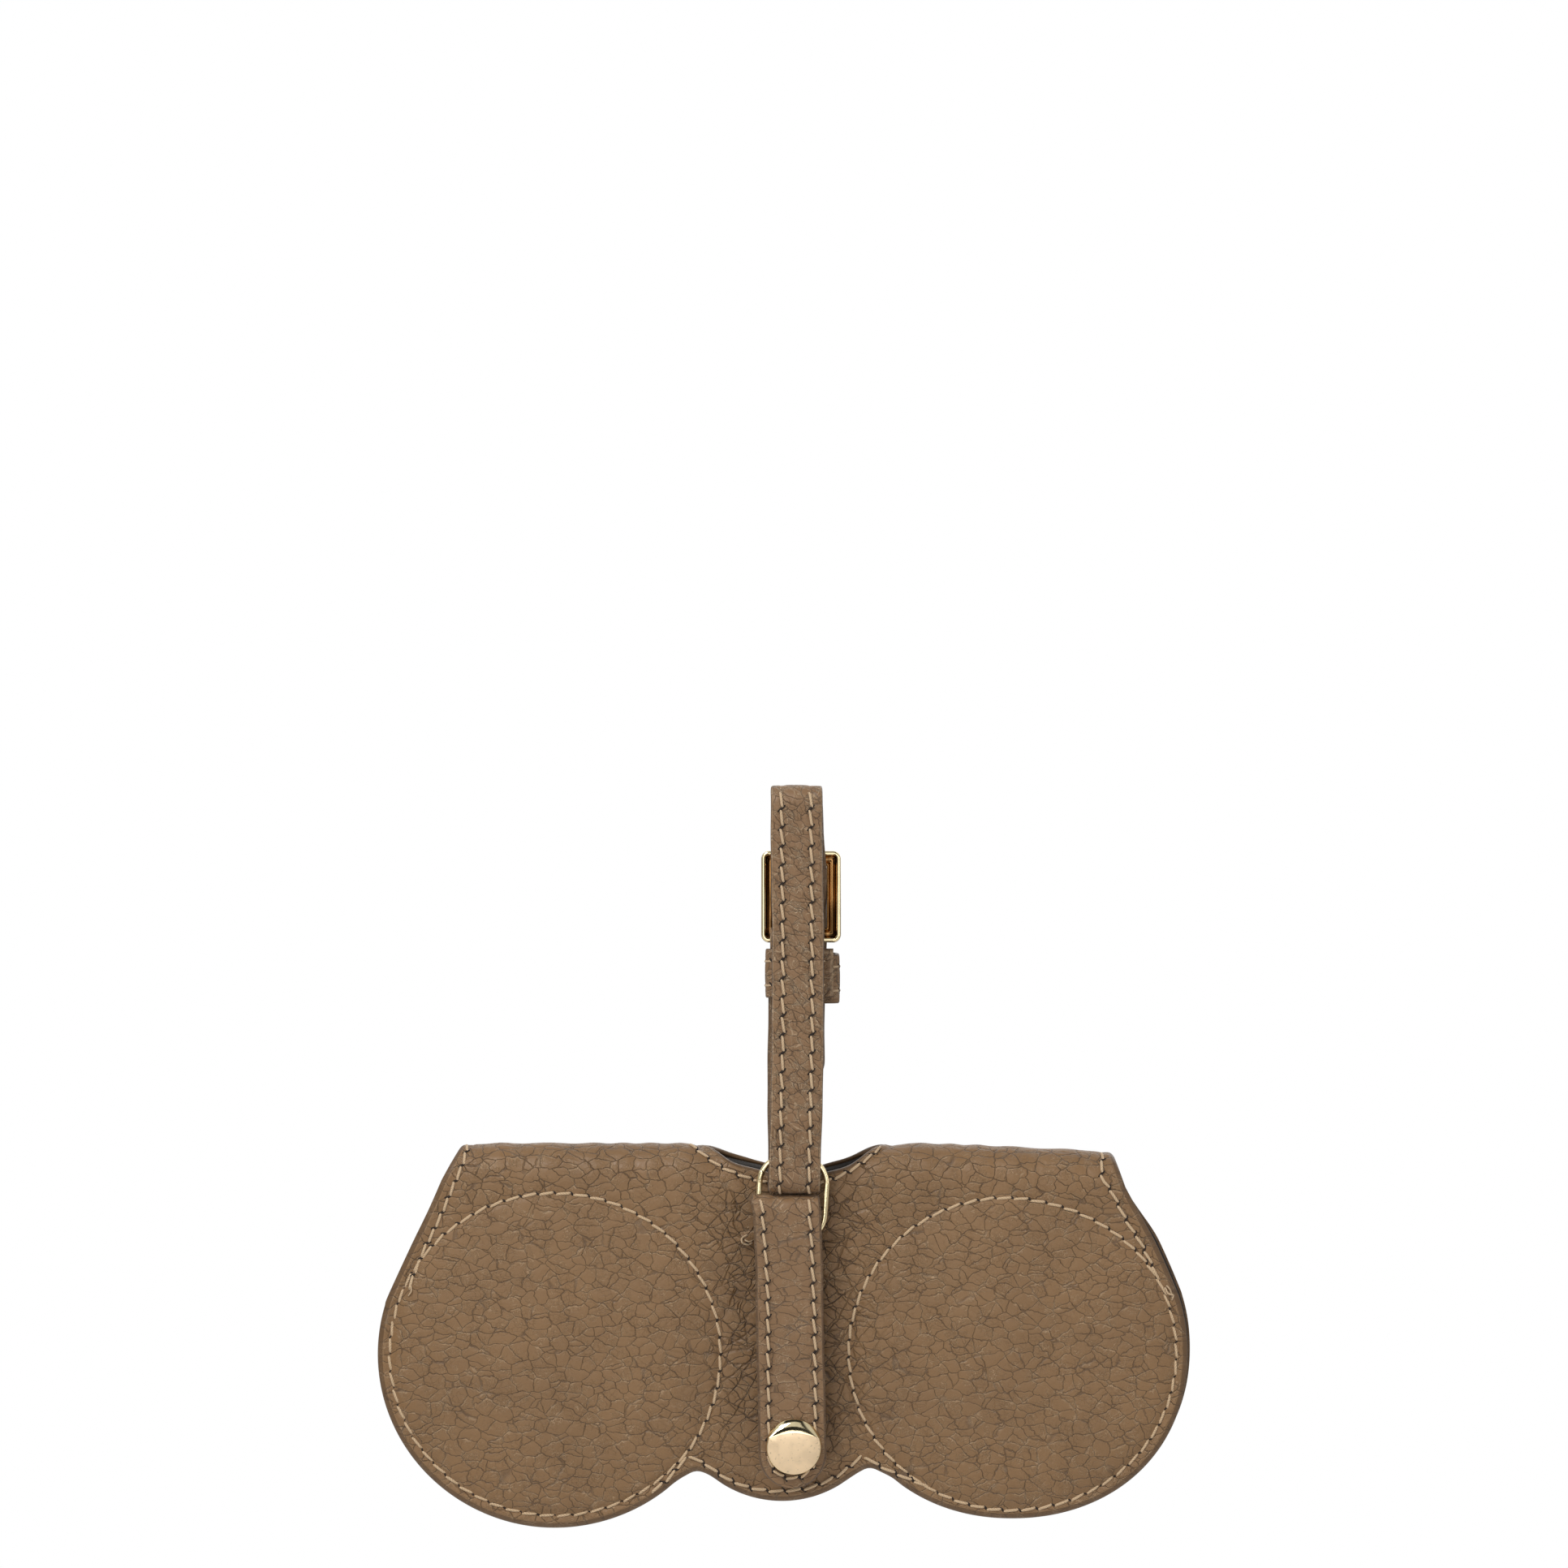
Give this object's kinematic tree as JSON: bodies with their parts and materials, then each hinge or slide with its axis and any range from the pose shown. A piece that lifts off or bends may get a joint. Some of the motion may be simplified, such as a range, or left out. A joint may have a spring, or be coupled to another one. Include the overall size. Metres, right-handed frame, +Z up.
{
  "type": "soft glasses case",
  "caption": "Soft two-lobed leather glasses case with padded panels, a press-snap tab, an oval ring and a buckled hanging strap.",
  "frame": {"origin": "inside top of the strap's hanging loop", "axes": "+X to the right across the two lobes, +Y from the front panel to the back panel, +Z up along the strap"},
  "size_m": [0.1545, 0.0217, 0.1426],
  "materials": {
    "panel_leather": "pebbled, satin",
    "strap_leather": "fine grain, satin",
    "lining_cloth": "matte suede",
    "interlining": "matte",
    "pad_foam": "matte",
    "thread": "waxed thread",
    "pale_gold": "polished, plated",
    "steel": "satin"
  },
  "bodies": {
    "strap": {"strap_leather": "strap_leather", "strap_lining": "strap_leather", "strap_thread_left": "thread", "strap_thread_right": "thread"},
    "buckle": {"buckle_frame": "pale_gold"},
    "prong": {"buckle_prong": "pale_gold"},
    "keeper": {"keeper_loop": "strap_leather", "keeper_thread_upper": "thread", "keeper_thread_lower": "thread"},
    "ring": {"oval_ring": "pale_gold"},
    "case_front": {"tab_loop": "strap_leather", "tab_rivet": "steel", "stud_eyelet": "steel", "front_leather": "panel_leather", "front_interlining": "interlining", "front_pad_left": "pad_foam", "front_pad_right": "pad_foam", "front_lining": "lining_cloth", "front_edge_thread": "thread", "front_circle_thread_left": "thread", "front_circle_thread_right": "thread", "fold_leather_left": "panel_leather", "fold_leather_right": "panel_leather", "fold_interlining_left": "interlining", "fold_interlining_right": "interlining", "fold_lining_left": "lining_cloth", "fold_lining_right": "lining_cloth"},
    "tab_flap": {"tab_leather": "strap_leather", "tab_lining": "lining_cloth", "tab_thread": "thread", "snap_cap": "pale_gold", "snap_socket": "steel"},
    "case_back": {"back_leather": "panel_leather", "back_interlining": "interlining", "back_pad_left": "pad_foam", "back_pad_right": "pad_foam", "back_lining": "lining_cloth", "snap_stud": "steel"}
  },
  "joints": [
    {"name": "buckle_tilt", "type": "hinge", "parent": "strap", "child": "buckle", "pos_m": [0.0006, 0.004, -0.02735], "axis": [1, 0, 0], "range_deg": [-3, 0]},
    {"name": "prong_lift", "type": "hinge", "parent": "buckle", "child": "prong", "pos_m": [0.0003, 0.004, -0.02735], "axis": [1, 0, 0], "range_deg": [-3, 0]},
    {"name": "keeper_slide", "type": "slide", "parent": "strap", "child": "keeper", "axis": [0, 0, 1], "range_m": [-0.008, 0]},
    {"name": "ring_swing", "type": "hinge", "parent": "strap", "child": "ring", "pos_m": [0, 0, -0.06885], "axis": [1, 0, 0], "range_deg": [-5, 25]},
    {"name": "case_swing", "type": "hinge", "parent": "ring", "child": "case_front", "pos_m": [0, 0, -0.08475], "axis": [1, 0, 0], "range_deg": [-25, 0]},
    {"name": "tab_open", "type": "hinge", "parent": "case_front", "child": "tab_flap", "pos_m": [0, -0.0033, -0.07995], "axis": [1, 0, 0], "range_deg": [-110, 0]},
    {"name": "back_open", "type": "hinge", "parent": "case_front", "child": "case_back", "pos_m": [0, 0.0168, -0.07365], "axis": [1, 0, 0], "range_deg": [0, 120]}
  ]
}
